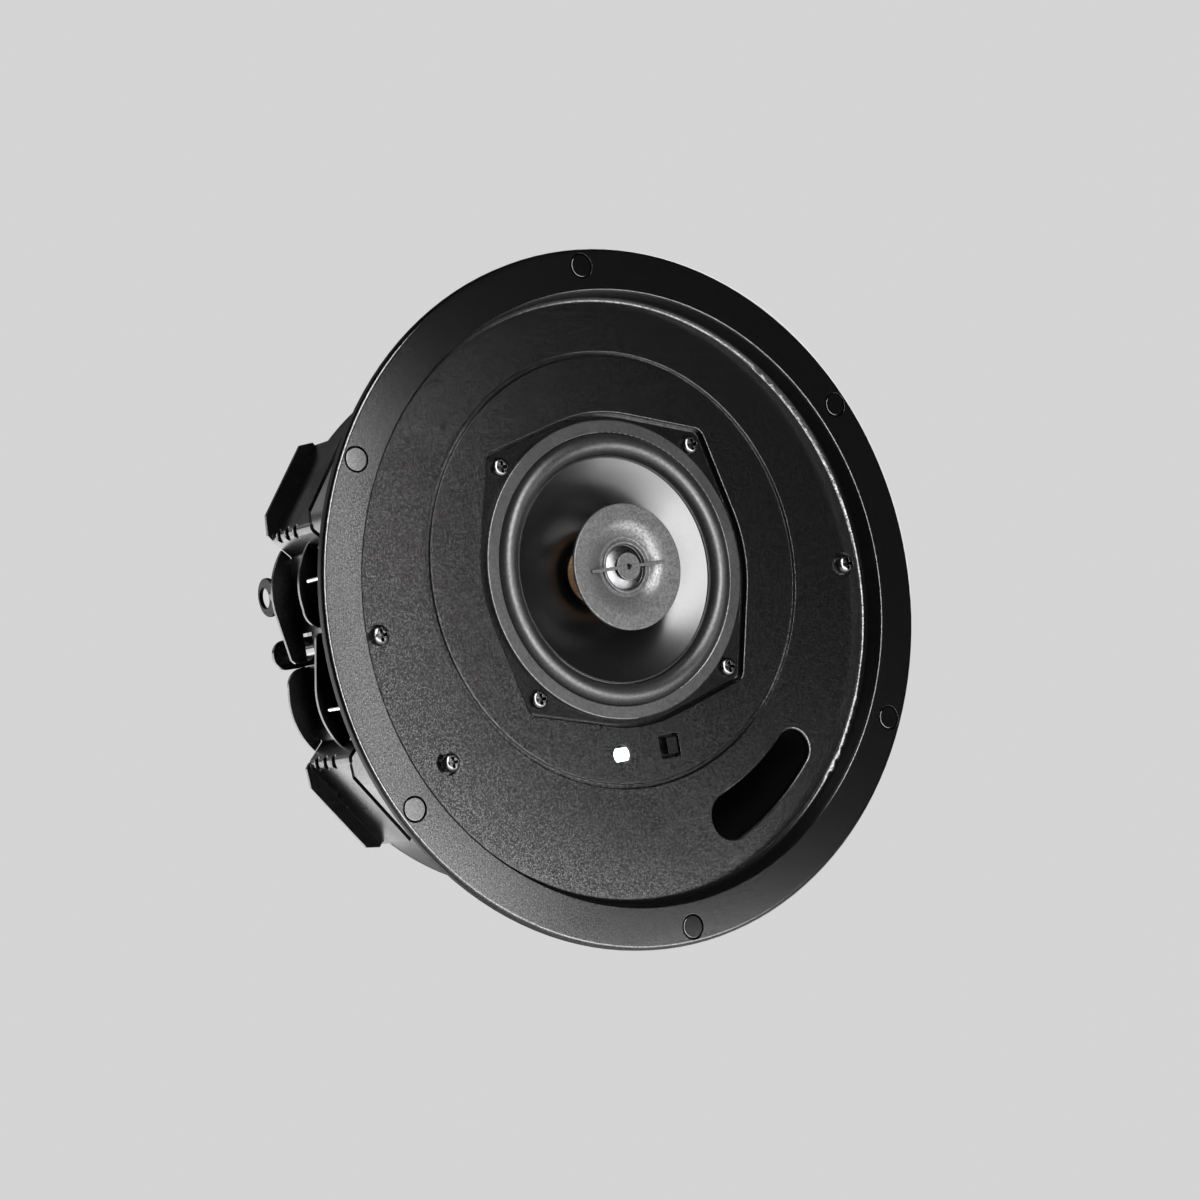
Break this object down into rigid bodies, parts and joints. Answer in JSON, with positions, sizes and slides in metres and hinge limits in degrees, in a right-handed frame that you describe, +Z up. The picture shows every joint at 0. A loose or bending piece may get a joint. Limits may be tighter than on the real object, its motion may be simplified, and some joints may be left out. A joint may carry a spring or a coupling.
{
  "type": "ceiling loudspeaker",
  "caption": "Round black flush-mount ceiling loudspeaker with coaxial woofer and tweeter, slotted port, back can and sliding side clamps.",
  "frame": {"origin": "centre of the bezel's rear face, where it meets the ceiling board", "axes": "+X to the right seen from the front, +Y to the rear along the speaker's axis, +Z up in the picture"},
  "size_m": [0.2904, 0.1109, 0.2904],
  "materials": {
    "baffle_plastic": "fine-textured black moulding",
    "magnet_plate": "bright plated magnet",
    "can_paint": "satin black paint on pressed steel",
    "gasket_foam": "closed-cell foam",
    "black_screw": "polished black nickel",
    "zinc_screw": "bright zinc plate",
    "frame_paint": "black painted pressed steel",
    "trim_plastic": "matt black",
    "surround_rubber": "smooth butyl rubber",
    "cone_plastic": "satin black polypropylene",
    "spider_cloth": "resin-treated cloth",
    "former_film": "amber film",
    "coil_wire": "enamelled copper",
    "motor_steel": "zinc-plated mild steel",
    "ferrite": "ground ferrite",
    "tweeter_plastic": "fine-textured dark grey moulding",
    "dome_metal": "anodised",
    "port_plastic": "black moulding",
    "light_plastic": "clear milky light pipe",
    "switch_plastic": "black",
    "board_laminate": "green solder mask",
    "plate_paint": "satin black",
    "jack_plastic": "black jack body",
    "capacitor_can": "sleeved",
    "sink_metal": "natural anodised",
    "standoff_brass": "nickel-free brass",
    "clamp_paint": "black powder coat",
    "bush_steel": "bright turned steel"
  },
  "bodies": {
    "chassis": {"front_baffle": "baffle_plastic", "back_can": "can_paint", "can_gasket": "gasket_foam", "can_screws": "zinc_screw", "driver_frame": "frame_paint", "trim_ring": "trim_plastic", "surround": "surround_rubber", "spider": "spider_cloth", "top_plate": "motor_steel", "ferrite_ring": "ferrite", "yoke": "motor_steel", "driver_screws": "black_screw", "tweeter_post": "motor_steel", "tweeter_cup": "motor_steel", "tweeter_magnet": "magnet_plate", "tweeter_waveguide": "tweeter_plastic", "phase_plug": "tweeter_plastic", "port_tube": "port_plastic", "status_light_pipe": "light_plastic", "switch_case": "switch_plastic", "indicator_board": "board_laminate", "indicator_board_screws": "zinc_screw", "service_screw": "black_screw", "connector_plate": "plate_paint", "connector_plate_screws": "zinc_screw", "board_standoffs": "standoff_brass", "standoff_screws": "zinc_screw", "amplifier_board": "board_laminate", "network_jack": "jack_plastic", "board_capacitors": "capacitor_can", "heat_sink": "sink_metal", "cable_saddle": "plate_paint", "cable_saddle_screws": "zinc_screw", "clamp_screw_bush_left": "bush_steel", "clamp_screw_bush_right": "bush_steel", "screw_end_bracket_left": "clamp_paint", "screw_end_bracket_right": "clamp_paint", "safety_eye": "clamp_paint", "safety_eye_nut": "zinc_screw", "locating_pins": "zinc_screw", "grille_magnet_1": "magnet_plate", "grille_magnet_2": "magnet_plate", "grille_magnet_3": "magnet_plate", "grille_magnet_4": "magnet_plate", "grille_magnet_5": "magnet_plate", "grille_magnet_6": "magnet_plate"},
    "clamp_left": {"clamp_bracket_left": "clamp_paint", "clamp_nut_left": "zinc_screw"},
    "clamp_right": {"clamp_bracket_right": "clamp_paint", "clamp_nut_right": "zinc_screw"},
    "screw_left": {"clamp_screw_left": "black_screw"},
    "screw_right": {"clamp_screw_right": "black_screw"},
    "woofer_cone": {"cone": "cone_plastic", "coil_former": "former_film", "coil_winding": "coil_wire"},
    "tweeter_diaphragm": {"tweeter_dome": "dome_metal"},
    "switch_slider": {"switch_knob": "switch_plastic"}
  },
  "joints": [
    {"name": "clamp_left_slide", "type": "slide", "parent": "chassis", "child": "clamp_left", "axis": [0, 1, 0], "range_m": [-0.007, 0.016]},
    {"name": "screw_left_turn", "type": "hinge", "parent": "chassis", "child": "screw_left", "pos_m": [-0.1173, 0, 0], "axis": [0, 1, 0], "range_deg": [-3605, 1580]},
    {"name": "clamp_right_slide", "type": "slide", "parent": "chassis", "child": "clamp_right", "axis": [0, 1, 0], "range_m": [-0.007, 0.016]},
    {"name": "screw_right_turn", "type": "hinge", "parent": "chassis", "child": "screw_right", "pos_m": [0.1173, 0, 0], "axis": [0, 1, 0], "range_deg": [-3605, 1580]},
    {"name": "cone_slide", "type": "slide", "parent": "chassis", "child": "woofer_cone", "axis": [0, 1, 0], "range_m": [-0.003, 0.003], "stiffness_N_per_m": 900, "deforming": ["surround", "spider"]},
    {"name": "dome_slide", "type": "slide", "parent": "chassis", "child": "tweeter_diaphragm", "axis": [0, 1, 0], "range_m": [-0.0003, 0.0003], "stiffness_N_per_m": 2000},
    {"name": "switch_slide", "type": "slide", "parent": "chassis", "child": "switch_slider", "axis": [1, 0, 0], "range_m": [-0.0035, 0]}
  ],
  "couplings": [
    {"joint": "screw_left_turn", "follows": "clamp_left_slide", "rad_per_m": -3927},
    {"joint": "screw_right_turn", "follows": "clamp_right_slide", "rad_per_m": -3927}
  ]
}
